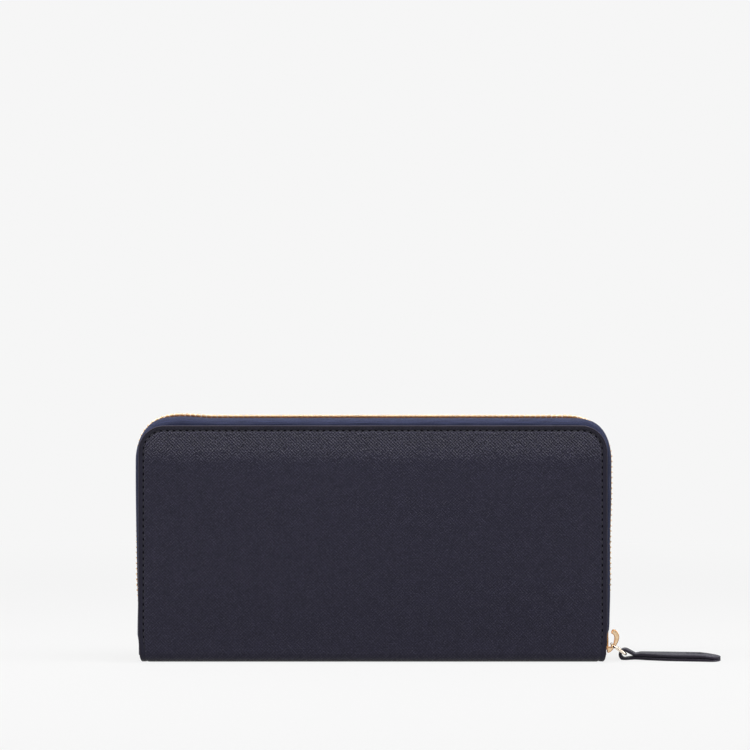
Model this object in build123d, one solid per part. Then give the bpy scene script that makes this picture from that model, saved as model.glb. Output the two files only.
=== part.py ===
from build123d import *
import math
import os

# Long zip-around wallet standing on its spine. Millimetres, +Z up, +X to the right, +Y to the back.
# Origin: middle of the spine's flat bottom. Both halves open away from each other about the spine;
# "front" is the half at -Y.

# ---- driving dimensions -------------------------------------------------------------------------
COVER_SIDE = 95.4          # half the width of each cover
COVER_TOP = 96.4           # top edge of the covers
COVER_CORNER = 10.5        # radius of the covers' top corners
HALF_THICKNESS = 12.0      # centre plane to a cover's outer face
FOLD_RADIUS = 4.0          # outer radius of the leather folds along the spine
SPINE_SIDE = 94.75         # half the length of the spine and folds

LEATHER = 1.3              # cover leather
BOARD = 0.6                # stiffener board, and zip tape
LINING = 0.5
CARD_LEATHER = 0.4         # card panel and card pockets

CORNER_START = 82.2        # height where the chain's top corners begin
CHAIN_SIDE = 97.6          # teeth, outermost, at the sides
CHAIN_TOP = 100.7          # teeth, outermost, at the top
END_TUCK = 1.9             # the chain's ends tuck in by this much towards the spine
TUCK_LOW = 13.2            # fully tucked in below this height
TUCK_HIGH = 22.0           # not tucked in above this height

TOOTH_PITCH = 2.2
TOOTH_LENGTH = 0.85        # along the chain
TOOTH_DEPTH = 2.6          # across the tape, from outermost to innermost
TOOTH_LEG = 3.0            # leg's end, from the centre plane
TOOTH_HEAD = 0.7           # how far a head crosses the centre plane
TAPE_EDGE = 1.1            # tape's edge, from the centre plane
TAPE_FLAT = 3.2            # tape is flat under the teeth, out to here
TOOTH_SLOT_GAP = 0.15      # tooth to tape, on each face
TAPE_BELOW_TOOTH = 1.0     # tape's outer face, below the teeth's outermost face
MARGIN = 10.0              # width of tape sewn under each cover
CHAIN_LOW = 8.6            # lowest tooth
CHAIN_END_HIGH = 19.5      # the left end of the chain flexes up to here as the cover opens

STITCH_INSET = 2.1         # seam, from the cover's edge
STITCH_PITCH = 2.65
STITCH_LENGTH = 2.0
STITCH_WIDTH = 0.5
STITCH_DEPTH = 0.3

LINING_INSET = 1.5         # lining, from the cover's edge
LINING_LOW = 5.5
LINING_CORNER = 12.5
BOARD_INSET = 10.5         # stiffener, from the cover's edge
BOARD_LOW = 6.0
SPINE_BOARD_SIDE = 92.0    # spine stiffener and spine lining
SPINE_BOARD_HALF = 7.5

GUSSET_EDGE = 92.2         # where a gusset meets the linings
GUSSET_FOLD = 85.0         # its inner fold
GUSSET_THICK = 0.5
GUSSET_LOW = 6.0
GUSSET_HEIGHT = 60.0

CARD_SIDE = 88.0
CARD_PANEL_TOP = 90.0
CARD_ROWS = 4
CARD_ROW_TOP = 80.0
CARD_ROW_STEP = 12.0
CARD_LOW = 8.0

POCKET_SIDE = 84.0         # coin pocket, half its width
POCKET_HALF = 2.4          # half its thickness
POCKET_WALL = 0.6
POCKET_LOW = 5.0
POCKET_TOP = 78.0

COIN_TAPE = 0.5
COIN_PITCH = 2.0
COIN_TOOTH_LENGTH = 0.85
COIN_TOOTH_DEPTH = 1.5
COIN_TOOTH_LEG = 1.7
COIN_TOOTH_HEAD = 0.45
COIN_TAPE_EDGE = 0.7
COIN_CHAIN_START = -76.0
COIN_CHAIN_END = 75.2
COIN_STOP = 78.2           # inner face of each coin zip stop
COIN_STOP_LENGTH = 1.4
COIN_STOP_HEIGHT = 0.7
COIN_SLIDER_X = 74.0       # middle of the parked coin slider
COIN_SLIDER_HALF = 3.5     # half its length
COIN_PLATE = 0.6           # its upper plate, and the puller's thickness
COIN_UNDER_PLATE = 0.5
COIN_SLIDER_GAP = 0.15     # plates to teeth
COIN_PIVOT_RISE = 0.75     # puller's pivot, above the upper plate

SLIDER_LOW = 3.4
SLIDER_HIGH = 13.2
SLIDER_GAP = 0.2           # slider plates to teeth
SLIDER_NECK_HALF = 0.9
SLIDER_NECK_TOP = 7.0
RAIL_INNER = 3.25          # guide rails along the plates' sides, from the centre plane
RAIL_OUTER = 3.95
RAIL_LOW = 8.0
RAIL_DEPTH = 0.8
STOP_REACH = 3.0           # top stops, from the centre plane
STOP_INNER = 1.3
STOP_HEIGHTS = (4.0, 5.6)
END_STOP_HALF = 2.6
END_STOP_HEIGHTS = (5.6, 7.6)
PLATE = 0.7                # slider plate thickness
PARKED_CHAIN = CHAIN_SIDE - END_TUCK

LINK_WIRE = 0.55           # link wire radius
LINK_PIVOT = (98.3, 6.0)   # X and Z of the link's bar in the crown
LINK_REACH = 6.5           # bar to bar
LINK_DROP = 33.0           # degrees the link points below the horizontal
LINK_HALF_WIDTH = 4.2      # wire centre line, along Y

TAB_LAYER = 1.15
TAB_HALF_WIDTH = 4.3
TAB_NECK_HALF_WIDTH = 3.2
TAB_TIP_X = 142.7
LOOP_INNER = 1.25
LOOP_OUTER = 2.4
TAB_STITCH_X = (130.0, 134.0)
TAB_STITCH_Y = 1.2

FRONT = -1
BACK = 1


# ---- helpers ------------------------------------------------------------------------------------
def facing_front(y):
    """Plane at this Y whose local axes are +X and +Z, and whose normal is -Y."""
    return Plane(origin=(0, y, 0), x_dir=(1, 0, 0), z_dir=(0, -1, 0))


def arch(side, top, bottom, radius):
    """Rectangle with its two top corners rounded."""
    body = Pos(0, (top + bottom) / 2) * Rectangle(2 * side, top - bottom)
    return fillet(body.vertices().group_by(Axis.Y)[-1], radius)


def slab(sketch, y_low, y_high):
    """Sketch in X and Z, made solid between two Y values."""
    return extrude(facing_front(y_high) * sketch, amount=y_high - y_low)


def box(x0, x1, y0, y1, z0, z1):
    middle = Pos((x0 + x1) / 2, (y0 + y1) / 2, (z0 + z1) / 2)
    return middle * Box(x1 - x0, y1 - y0, z1 - z0)


def on_side(shape, side):
    """Shape modelled on the front (-Y) half, mirrored when it belongs to the back half."""
    if side == FRONT:
        return shape
    return mirror(shape, about=Plane.XZ)


def write(shape, node):
    export_step(shape, "parts/" + node + ".step")


def write_group(solids, node):
    write(Compound(children=list(solids)), node)


# ---- levels through the thickness of the front half ---------------------------------------------
Y_OUTER = -HALF_THICKNESS
Y_BOARD = Y_OUTER + LEATHER
Y_LINING = Y_BOARD + BOARD
Y_CARD = Y_LINING + LINING
Y_ROWS = Y_CARD + CARD_LEATHER


# ---- covers, folds and spine --------------------------------------------------------------------
def seam_ring(inset_out, inset_in, y_low, y_high):
    """U-shaped ring that follows a cover's edge."""
    outer = arch(COVER_SIDE - inset_out, COVER_TOP - inset_out, FOLD_RADIUS + 2, COVER_CORNER - inset_out)
    inner = arch(COVER_SIDE - inset_in, COVER_TOP - inset_in, FOLD_RADIUS + 1, COVER_CORNER - inset_in)
    return slab(outer - inner, y_low, y_high)


def cover():
    panel = slab(arch(COVER_SIDE, COVER_TOP, FOLD_RADIUS, COVER_CORNER), Y_OUTER, Y_BOARD)
    half = STITCH_WIDTH / 2
    groove = seam_ring(STITCH_INSET - half, STITCH_INSET + half, Y_OUTER, Y_OUTER + STITCH_DEPTH)
    return panel - groove


def fold():
    """Quarter of a tube along the spine's edge."""
    centre = (Y_OUTER + FOLD_RADIUS, FOLD_RADIUS)
    rings = Circle(FOLD_RADIUS) - Circle(FOLD_RADIUS - LEATHER)
    quarter = rings & Pos(-FOLD_RADIUS / 2, -FOLD_RADIUS / 2) * Rectangle(FOLD_RADIUS, FOLD_RADIUS)
    along_x = Plane(origin=(-SPINE_SIDE, *centre), x_dir=(0, 1, 0), z_dir=(1, 0, 0))
    return extrude(along_x * quarter, amount=2 * SPINE_SIDE)


def path_places(outline_side, outline_top, radius, low, pitch):
    """(x, z, direction in degrees) at even steps up the left side, over the top and down the right."""
    straight = outline_top - radius - low
    quarter = math.pi * radius / 2
    across = 2 * (outline_side - radius)
    total = 2 * straight + 2 * quarter + across
    count = int(total / pitch)
    places = []
    for i in range(count + 1):
        s = (total - count * pitch) / 2 + i * pitch
        if s < straight:
            places.append((-outline_side, low + s, 90.0))
            continue
        s -= straight
        if s < quarter:
            turn = s / radius
            x = -outline_side + radius - radius * math.cos(turn)
            places.append((x, outline_top - radius + radius * math.sin(turn), 90 - math.degrees(turn)))
            continue
        s -= quarter
        if s < across:
            places.append((-outline_side + radius + s, outline_top, 0.0))
            continue
        s -= across
        if s < quarter:
            turn = s / radius
            x = outline_side - radius + radius * math.sin(turn)
            places.append((x, outline_top - radius + radius * math.cos(turn), -math.degrees(turn)))
            continue
        places.append((outline_side, outline_top - radius - (s - quarter), -90.0))
    return places


def seam_thread(side):
    """One short bar per stitch, lying in the seam's groove."""
    inset = STITCH_INSET
    places = path_places(
        COVER_SIDE - inset, COVER_TOP - inset, COVER_CORNER - inset, FOLD_RADIUS + 3.5, STITCH_PITCH
    )
    stitch = Box(STITCH_LENGTH, STITCH_DEPTH, STITCH_WIDTH * 0.8)
    y = Y_OUTER + STITCH_DEPTH / 2
    return [on_side(Pos(x, y, z) * Rot(0, -turn, 0) * stitch, side) for x, z, turn in places]


# ---- zip tape -----------------------------------------------------------------------------------
# The tape is sewn flat under the cover's edge, then curves out and round to the centre plane.
BULGE_REACH = -Y_LINING                     # the curve ends here, next to the cover
BULGE_LEVELS = (Y_LINING, -9.4, -8.0, -5.6, -TAPE_FLAT, -TAPE_EDGE)
SEWN_INSET = 0.3


def bulge(y):
    """0 beside the cover, 1 under the teeth, along a quarter of an ellipse."""
    t = max(0.0, (abs(y) - TAPE_FLAT) / (BULGE_REACH - TAPE_FLAT))
    return math.sqrt(max(0.0, 1 - t * t))


def tape_face(y, crest, edge):
    """Outer face of the tape at this Y: from the sewn edge to the crest under the teeth."""
    sewn = edge - SEWN_INSET
    return sewn + (crest - TAPE_BELOW_TOOTH - sewn) * bulge(y)


def tuck(z):
    """How far the chain is tucked in at this height."""
    t = min(1.0, max(0.0, (z - TUCK_LOW) / (TUCK_HIGH - TUCK_LOW)))
    return END_TUCK * (1 - t * t * (3 - 2 * t))


def tape_arch_section(y, inset, low):
    side = tape_face(y, CHAIN_SIDE, COVER_SIDE) - inset
    top = tape_face(y, CHAIN_TOP, COVER_TOP) - inset
    return facing_front(y) * arch(side, top, low, top - CORNER_START)


def tape_arch():
    """The part of the tape over the top and round both corners."""
    outer = loft([tape_arch_section(y, 0, CORNER_START) for y in BULGE_LEVELS], ruled=True)
    inner = loft([tape_arch_section(y, BOARD, CORNER_START - 5) for y in BULGE_LEVELS], ruled=True)
    return outer - inner


def tape_leg_section(z):
    crest = CHAIN_SIDE - tuck(z)
    outer = [(tape_face(y, crest, COVER_SIDE), y) for y in BULGE_LEVELS]
    inner = [(x - BOARD, y) for x, y in reversed(outer)]
    return Plane.XY.offset(z) * make_face(Polyline(*outer, *inner, close=True))


TAPE_LOW = 10.0


def tape_leg():
    """The part of the tape down the right side."""
    steps = 4
    rise = (TUCK_HIGH - TUCK_LOW) / steps
    levels = [TAPE_LOW] + [TUCK_LOW + i * rise for i in range(steps + 1)] + [CORNER_START]
    return loft([tape_leg_section(z) for z in levels], ruled=True)


def sewn_margin():
    """Flat strip of tape under the cover's edge."""
    low = FOLD_RADIUS + 1
    side = COVER_SIDE - SEWN_INSET
    top = COVER_TOP - SEWN_INSET
    outer = arch(side, top, low, top - CORNER_START)
    inner = arch(side - MARGIN, top - MARGIN, low - 1, 1.0)
    return slab(outer - inner, Y_BOARD, Y_LINING)


def zip_tapes():
    """The tape of the front half: (left side, top and corners), (right side)."""
    right_side = box(0, 200, -50, 50, -50, CORNER_START)
    margin = sewn_margin()
    leg = tape_leg()
    left_leg = mirror(leg, about=Plane.YZ)
    main = (margin - right_side) + tape_arch() + left_leg
    right = (margin & right_side) + leg
    return main, right


# ---- zip teeth ----------------------------------------------------------------------------------
def tooth(length, depth, leg, head, tape_edge, tape_thickness):
    """Tooth of the front row, outermost face at local Z = 0, chain along local X."""
    profile = [(-leg, 0), (head, 0), (head, -depth), (-leg, -depth)]
    slot = tape_thickness + 2 * TOOTH_SLOT_GAP
    slot_top = -(depth - slot) / 2
    plane = Plane(origin=(-length / 2, 0, 0), x_dir=(0, 1, 0), z_dir=(1, 0, 0))
    body = extrude(plane * make_face(Polyline(*profile, close=True)), amount=length)
    return body - box(-length, length, -leg - 1, -tape_edge, slot_top - slot, slot_top)


def chain_places(side):
    """Places for one row of teeth; the two rows are half a pitch apart."""
    radius = CHAIN_TOP - CORNER_START
    places = path_places(CHAIN_SIDE, CHAIN_TOP, radius, CHAIN_LOW, TOOTH_PITCH / 2)
    first = 0 if side == FRONT else 1
    return places[first::2]


def zip_teeth(side):
    """One row of teeth: (left side, top and corners), (left end), (right side)."""
    one = on_side(tooth(TOOTH_LENGTH, TOOTH_DEPTH, TOOTH_LEG, TOOTH_HEAD, TAPE_EDGE, BOARD), side)
    main = []
    end = []
    right = []
    for x, z, turn in chain_places(side):
        x -= math.copysign(tuck(z), x)
        placed = Pos(x, 0, z) * Rot(0, -turn, 0) * one
        if x > 0 and turn == -90.0:
            right.append(placed)
        elif z < CHAIN_END_HIGH:
            end.append(placed)
        else:
            main.append(placed)
    return main, end, right


def top_stop(side):
    """Stop crimped on the end of one tape, beside the slider's neck."""
    inner = PARKED_CHAIN - TOOTH_DEPTH + 0.1
    stop = box(inner, PARKED_CHAIN - 0.1, -STOP_REACH, -STOP_INNER, *STOP_HEIGHTS)
    return on_side(stop, side)


def end_stop():
    """Box clamped over both tapes at the start of the zip."""
    inner = -PARKED_CHAIN + TOOTH_DEPTH
    clamp = box(-PARKED_CHAIN, inner, -END_STOP_HALF, END_STOP_HALF, *END_STOP_HEIGHTS)
    return fillet(clamp.edges().filter_by(Axis.Z), 0.5)


# ---- inside the halves --------------------------------------------------------------------------
def stiffener():
    inset = BOARD_INSET
    return slab(arch(COVER_SIDE - inset, COVER_TOP - inset, BOARD_LOW, 1.0), Y_BOARD, Y_LINING)


def lining():
    inset = LINING_INSET
    outline = arch(COVER_SIDE - inset, COVER_TOP - inset, LINING_LOW, LINING_CORNER)
    return slab(outline, Y_LINING, Y_CARD)


def card_panel():
    return slab(arch(CARD_SIDE, CARD_PANEL_TOP, CARD_LOW, 5.0), Y_CARD, Y_ROWS)


def card_pocket(row):
    y = Y_ROWS + row * CARD_LEATHER
    top = CARD_ROW_TOP - row * CARD_ROW_STEP
    return slab(arch(CARD_SIDE, top, CARD_LOW, 2.0), y, y + CARD_LEATHER)


def gusset():
    """Leather folded inwards in a V between the linings, at the right side."""
    reach = -Y_CARD - 0.1
    outer = [(GUSSET_EDGE, -reach), (GUSSET_FOLD, 0), (GUSSET_EDGE, reach)]
    inner = [(x - GUSSET_THICK, y) for x, y in reversed(outer)]
    section = make_face(Polyline(*outer, *inner, close=True))
    return extrude(Plane.XY.offset(GUSSET_LOW) * section, amount=GUSSET_HEIGHT)


# ---- coin pocket --------------------------------------------------------------------------------
COIN_CHAIN_HIGH = POCKET_TOP + COIN_TAPE + (COIN_TOOTH_DEPTH - COIN_TAPE) / 2
COIN_PLATE_LOW = COIN_CHAIN_HIGH + COIN_SLIDER_GAP
COIN_PLATE_TOP = COIN_PLATE_LOW + COIN_PLATE
COIN_PIVOT_Z = COIN_PLATE_TOP + COIN_PIVOT_RISE


def coin_walls():
    """Front wall, bottom strip and right side strip of the coin pocket."""
    inner = POCKET_HALF - POCKET_WALL
    low = POCKET_LOW + POCKET_WALL
    wall = slab(arch(POCKET_SIDE, POCKET_TOP, POCKET_LOW, 2.0), -POCKET_HALF, -inner)
    bottom = box(-POCKET_SIDE, POCKET_SIDE, -inner, inner, POCKET_LOW, low)
    side_strip = box(POCKET_SIDE - POCKET_WALL, POCKET_SIDE, -inner, inner, low, POCKET_TOP - 2)
    return wall, bottom, side_strip


def coin_tape():
    side = POCKET_SIDE - 2
    return box(-side, side, -POCKET_HALF, -COIN_TAPE_EDGE, POCKET_TOP, POCKET_TOP + COIN_TAPE)


def coin_stop():
    low = POCKET_TOP + COIN_TAPE
    reach = COIN_TOOTH_LEG
    return box(COIN_STOP, COIN_STOP + COIN_STOP_LENGTH, -reach, reach, low, low + COIN_STOP_HEIGHT)


def coin_tooth_places(side):
    start = COIN_CHAIN_START if side == FRONT else COIN_CHAIN_START + COIN_PITCH / 2
    count = int((COIN_CHAIN_END - start) / COIN_PITCH) + 1
    return [start + i * COIN_PITCH for i in range(count)]


def coin_teeth(side):
    one = tooth(
        COIN_TOOTH_LENGTH, COIN_TOOTH_DEPTH, COIN_TOOTH_LEG, COIN_TOOTH_HEAD, COIN_TAPE_EDGE, COIN_TAPE
    )
    one = on_side(one, side)
    return [Pos(x, 0, COIN_CHAIN_HIGH) * one for x in coin_tooth_places(side)]


def coin_slider():
    """Upper and lower plate joined by the neck that parts the teeth."""
    x0, x1 = COIN_SLIDER_X - COIN_SLIDER_HALF, COIN_SLIDER_X + COIN_SLIDER_HALF
    high = COIN_PLATE_LOW
    low = COIN_CHAIN_HIGH - COIN_TOOTH_DEPTH - COIN_SLIDER_GAP
    upper = fillet(box(x0, x1, -2.3, 2.3, high, COIN_PLATE_TOP).edges().filter_by(Axis.Z), 0.9)
    lower = fillet(box(x0, x1, -1.7, 1.7, low - COIN_UNDER_PLATE, low).edges().filter_by(Axis.Z), 0.8)
    neck = box(x1 - 1.6, x1 - 0.2, -0.4, 0.4, low, high)
    return upper + lower + neck


def arc_strap(reach, rise, thick, width):
    """Arched strap: a flat-topped hoop in X and Z, width along Y, feet at local Z = 0."""
    outer = Rectangle(2 * reach, 2 * rise)
    outer = fillet(outer.vertices(), rise * 0.7)
    inner = Rectangle(2 * (reach - thick), 2 * (rise - thick))
    inner = fillet(inner.vertices(), (rise - thick) * 0.7)
    upper = (outer - inner) & Pos(0, rise / 2) * Rectangle(2 * reach, rise)
    return slab(upper, -width / 2, width / 2)


def coin_bridge():
    """Hoop on the slider that holds the puller."""
    return Pos(COIN_SLIDER_X, 0, COIN_PLATE_TOP) * arc_strap(2.6, 2.0, 0.6, 1.2)


def coin_puller():
    """Flat metal puller lying along the chain, with an eye round the bridge."""
    plate = Pos(-5.8, 0) * Rectangle(12.6, 4.0)
    plate = fillet(plate.vertices(), 1.2)
    eye = Pos(-2.2, 0) * Rectangle(3.4, 1.8)
    hole = Pos(-9.4, 0) * Circle(0.9)
    flat = extrude(Plane.XY * (plate - eye - hole), amount=COIN_PLATE)
    return Pos(COIN_SLIDER_X + 0.3, 0, COIN_PIVOT_Z - COIN_PLATE / 2) * flat


# ---- zip slider, crown, link and pull -----------------------------------------------------------
def slider_plate_sketch():
    """Shield shape in Y and Z: wide where the tapes part, narrower where they close."""
    right = [(3.2, SLIDER_LOW), (4.6, 6.4), (4.0, SLIDER_HIGH)]
    left = [(-y, z) for y, z in reversed(right)]
    return make_face(Polyline(*right, *left, close=True))


def across_x(x):
    """Plane at this X whose local axes are +Y and +Z."""
    return Plane(origin=(x, 0, 0), x_dir=(0, 1, 0), z_dir=(1, 0, 0))


SLIDER_FACE = PARKED_CHAIN + SLIDER_GAP
SLIDER_BACK = PARKED_CHAIN - TOOTH_DEPTH - SLIDER_GAP


def slider_body():
    sketch = slider_plate_sketch()
    outer = extrude(across_x(SLIDER_FACE) * sketch, amount=PLATE)
    inner = extrude(across_x(SLIDER_BACK - PLATE) * sketch, amount=PLATE)
    half = SLIDER_NECK_HALF
    neck = box(SLIDER_BACK, SLIDER_FACE, -half, half, SLIDER_LOW + 0.3, SLIDER_NECK_TOP)
    body = outer + inner + neck
    for side in (FRONT, BACK):
        y0, y1 = sorted((side * RAIL_INNER, side * RAIL_OUTER))
        body += box(SLIDER_FACE - RAIL_DEPTH, SLIDER_FACE, y0, y1, RAIL_LOW, SLIDER_HIGH)
        body += box(SLIDER_BACK, SLIDER_BACK + RAIL_DEPTH, y0, y1, RAIL_LOW, SLIDER_HIGH)
    return body


CROWN_FOOT = SLIDER_FACE + PLATE
CROWN_WIDTH = 2.2
CROWN_REACH = 4.4


def crown():
    """Hook rising from the slider's face: foot at the low end, free tip at the top."""
    foot = CROWN_FOOT
    out = foot + CROWN_REACH
    lower = [(foot, 4.7), (foot, 3.5), (out - 1.6, 4.2), (out, 6.4), (out, 9.2), (out - 1.2, 11.0)]
    tip = [(foot + 1.0, 12.4), (foot + 0.6, 11.2)]
    inner = [(out - 2.0, 10.0), (out - 1.3, 8.8), (out - 1.3, 6.8), (out - 2.3, 5.2)]
    profile = make_face(Polyline(*lower, *tip, *inner, close=True))
    return slab(profile, -CROWN_WIDTH / 2, CROWN_WIDTH / 2)


def link_plane():
    """Origin at the bar in the crown, local X along the link, local Y along +Y."""
    x, z = LINK_PIVOT
    angle = math.radians(LINK_DROP)
    along = (math.cos(angle), 0, -math.sin(angle))
    normal = (math.sin(angle), 0, math.cos(angle))
    return Plane(origin=(x, 0, z), x_dir=along, z_dir=normal)


def pull_link():
    """Oval ring of round wire."""
    corner = 1.6
    half = LINK_HALF_WIDTH
    path = fillet((Pos(LINK_REACH / 2, 0) * Rectangle(LINK_REACH, 2 * half)).vertices(), corner)
    route = (link_plane() * path).wire()
    start = route @ 0
    section = Plane(origin=start, z_dir=route % 0) * Circle(LINK_WIRE)
    return sweep(section, path=route)


def loop_centre():
    x, z = LINK_PIVOT
    angle = math.radians(LINK_DROP)
    return x + LINK_REACH * math.cos(angle), z - LINK_REACH * math.sin(angle)


def tab_outline(half_width):
    """Plan of the pull from the loop to its rounded tip, narrow at the loop."""
    x0, _ = loop_centre()
    start = x0 + LOOP_OUTER * 0.6
    wide = start + 7.0
    tip = TAB_TIP_X
    tip_start = tip - 3.6
    edge = [(start, TAB_NECK_HALF_WIDTH), (wide - 2.5, TAB_NECK_HALF_WIDTH), (wide, half_width)]
    lower = Polyline(*[(x, -y) for x, y in edge], (tip_start, -half_width))
    round_tip = ThreePointArc((tip_start, -half_width), (tip, 0), (tip_start, half_width))
    upper = Polyline((tip_start, half_width), *reversed(edge), (start, -TAB_NECK_HALF_WIDTH))
    return make_face(lower + round_tip + upper)


def tab_layers():
    """Two leather layers lying on the ground, and the loop round the link that joins them."""
    x0, z0 = loop_centre()
    outline = tab_outline(TAB_HALF_WIDTH)
    low = extrude(Plane.XY * outline, amount=TAB_LAYER)
    top = extrude(Plane.XY.offset(TAB_LAYER) * outline, amount=TAB_LAYER)
    ring = Circle(LOOP_OUTER) - Circle(LOOP_INNER)
    loop = slab(Pos(x0, z0) * ring, -TAB_NECK_HALF_WIDTH, TAB_NECK_HALF_WIDTH)
    clearance = slab(Pos(x0, z0) * Circle(LOOP_OUTER), -TAB_HALF_WIDTH, TAB_HALF_WIDTH)
    return low - clearance, top - clearance, loop


def tab_stitches():
    stitch = Pos(0, 0, 2 * TAB_LAYER + 0.1) * Box(STITCH_LENGTH, STITCH_WIDTH, 0.2)
    return [Pos(x, y, 0) * stitch for x in TAB_STITCH_X for y in (-TAB_STITCH_Y, TAB_STITCH_Y)]


# ---- write every node ---------------------------------------------------------------------------
os.makedirs("parts", exist_ok=True)

main_tape, right_tape = zip_tapes()
for half, side in (("front", FRONT), ("back", BACK)):
    write(on_side(cover(), side), half + "_cover")
    write(on_side(fold(), side), half + "_fold")
    write(on_side(stiffener(), side), half + "_stiffener")
    write(on_side(lining(), side), half + "_lining")
    write(on_side(card_panel(), side), half + "_card_panel")
    for row in range(CARD_ROWS):
        write(on_side(card_pocket(row), side), half + "_card_pocket_" + str(row + 1))
    write_group(seam_thread(side), half + "_seam_thread")
    write(on_side(main_tape, side), half + "_zip_tape")
    write(on_side(right_tape, side), half + "_zip_tape_right")
    main_teeth, end_teeth, right_teeth = zip_teeth(side)
    write_group(main_teeth, half + "_zip_teeth")
    write_group(end_teeth, half + "_zip_teeth_end")
    write_group(right_teeth, half + "_zip_teeth_right")
    write(top_stop(side), half + "_zip_top_stop")

spine_inner = HALF_THICKNESS - FOLD_RADIUS
spine_board_top = LEATHER + BOARD
spine_lining_top = spine_board_top + LINING
board_side, board_half = SPINE_BOARD_SIDE, SPINE_BOARD_HALF
write(box(-SPINE_SIDE, SPINE_SIDE, -spine_inner, spine_inner, 0, LEATHER), "spine_cover")
write(box(-board_side, board_side, -board_half, board_half, LEATHER, spine_board_top), "spine_stiffener")
spine_lining = box(-board_side, board_side, -board_half, board_half, spine_board_top, spine_lining_top)
write(spine_lining, "spine_lining")
write(gusset(), "right_gusset")
write(mirror(gusset(), about=Plane.YZ), "left_gusset")
write(end_stop(), "zip_end_stop")

pocket_wall, pocket_bottom, pocket_side = coin_walls()
write(pocket_wall, "coin_pocket_front_wall")
write(mirror(pocket_wall, about=Plane.XZ), "coin_pocket_back_wall")
write(pocket_bottom, "coin_pocket_bottom")
write(pocket_side, "coin_pocket_right_side")
write(mirror(pocket_side, about=Plane.YZ), "coin_pocket_left_side")
for half, side in (("front", FRONT), ("back", BACK)):
    write(on_side(coin_tape(), side), "coin_tape_" + half)
    write_group(coin_teeth(side), "coin_teeth_" + half)
write_group([coin_stop(), mirror(coin_stop(), about=Plane.YZ)], "coin_zip_stops")
write(coin_slider(), "coin_slider_body")
write(coin_bridge(), "coin_slider_bridge")
write(coin_puller(), "coin_puller")

write(slider_body(), "zip_slider_body")
write(crown(), "zip_slider_crown")
write(pull_link(), "pull_link")
low_layer, top_layer, pull_loop = tab_layers()
write(low_layer, "pull_tab_lower_layer")
write(top_layer, "pull_tab_upper_layer")
write(pull_loop, "pull_tab_loop")
write_group(tab_stitches(), "pull_tab_stitches")
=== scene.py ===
"""Looks of the long zip-around wallet: grained leather covers, woven zip tape, brass teeth,
slider with its link and leather pull, and the lined interior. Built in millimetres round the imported
frame, in the frame's own axes: +X along the spine, +Y to the back, +Z up."""
import math

import bmesh
import bpy
import numpy as np
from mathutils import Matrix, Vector


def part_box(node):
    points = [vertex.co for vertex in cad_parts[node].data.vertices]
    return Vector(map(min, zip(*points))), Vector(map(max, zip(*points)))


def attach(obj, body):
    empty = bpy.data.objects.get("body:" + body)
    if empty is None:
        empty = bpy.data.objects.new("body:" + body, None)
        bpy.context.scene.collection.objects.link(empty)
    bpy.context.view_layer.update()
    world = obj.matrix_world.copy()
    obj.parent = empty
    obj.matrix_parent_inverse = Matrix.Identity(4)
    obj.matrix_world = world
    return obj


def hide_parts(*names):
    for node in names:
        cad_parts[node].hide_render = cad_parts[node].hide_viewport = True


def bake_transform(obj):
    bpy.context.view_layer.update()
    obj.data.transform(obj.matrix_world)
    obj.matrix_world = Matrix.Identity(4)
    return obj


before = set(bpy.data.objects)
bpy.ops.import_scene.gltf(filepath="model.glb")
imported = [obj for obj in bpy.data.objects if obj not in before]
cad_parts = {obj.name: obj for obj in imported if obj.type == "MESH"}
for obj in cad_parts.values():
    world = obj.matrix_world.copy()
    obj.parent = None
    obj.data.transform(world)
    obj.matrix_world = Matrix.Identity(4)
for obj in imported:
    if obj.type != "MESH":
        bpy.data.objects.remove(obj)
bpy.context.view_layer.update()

MM = 0.001
FRONT = -1
BACK = 1


def mm_box(node):
    low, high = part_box(node)
    return low / MM, high / MM


# ---- sizes read from the frame ----
cover_low, cover_high = mm_box("front_cover")
COVER_SIDE = cover_high.x
COVER_TOP = cover_high.z
Y_OUTER = cover_low.y
Y_BOARD = cover_high.y
FOLD_R = cover_low.z
Y_FOLD = Y_OUTER + FOLD_R  # Y of the fold's axis, which is also the cover hinge
teeth_low, teeth_high = mm_box("front_zip_teeth")
CHAIN_TOP = teeth_high.z
CHAIN_SIDE = -teeth_low.x
slider_low, slider_high = mm_box("zip_slider_body")
PLATE_FACE = mm_box("zip_slider_crown")[0].x  # outer face of the slider's plate, where the crown sits
LINK_WIDE = mm_box("pull_link")[1].y
tab_low, tab_high = mm_box("pull_tab_upper_layer")
loop_low, loop_high = mm_box("pull_tab_loop")

# ---- sizes shared with the frame's design, in millimetres ----
CORNER_R = 10.5
CORNER_Z = COVER_TOP - CORNER_R  # the covers' sides are straight up to here
CHAIN_CORNER_Z = 82.2  # and the chain's up to here
CHAIN_LOW = 8.6  # lowest teeth
TOOTH_PITCH = 2.2  # of one row
END_TUCK = 1.9  # the chain turns in by this much at its ends,
TUCK_LOW = 13.2  # all of it up to here
TUCK_HIGH = 33.0  # and none from here up
TAPE_THICK = 0.6
TAPE_FLAT = 3.2  # the tape is flat under the teeth out to here
TAPE_EDGE = 1.1  # half the gap between the two tapes
SEWN_INSET = 0.3
STITCH_INSET = 2.1
STITCH_PITCH = 2.65
LINK_PIVOT = (98.3, 6.0)  # X and Z where the link hangs in the crown
LINK_DROP = math.radians(33.0)
LINK_REACH = 6.5
LINK_WIRE = 0.6

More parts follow.
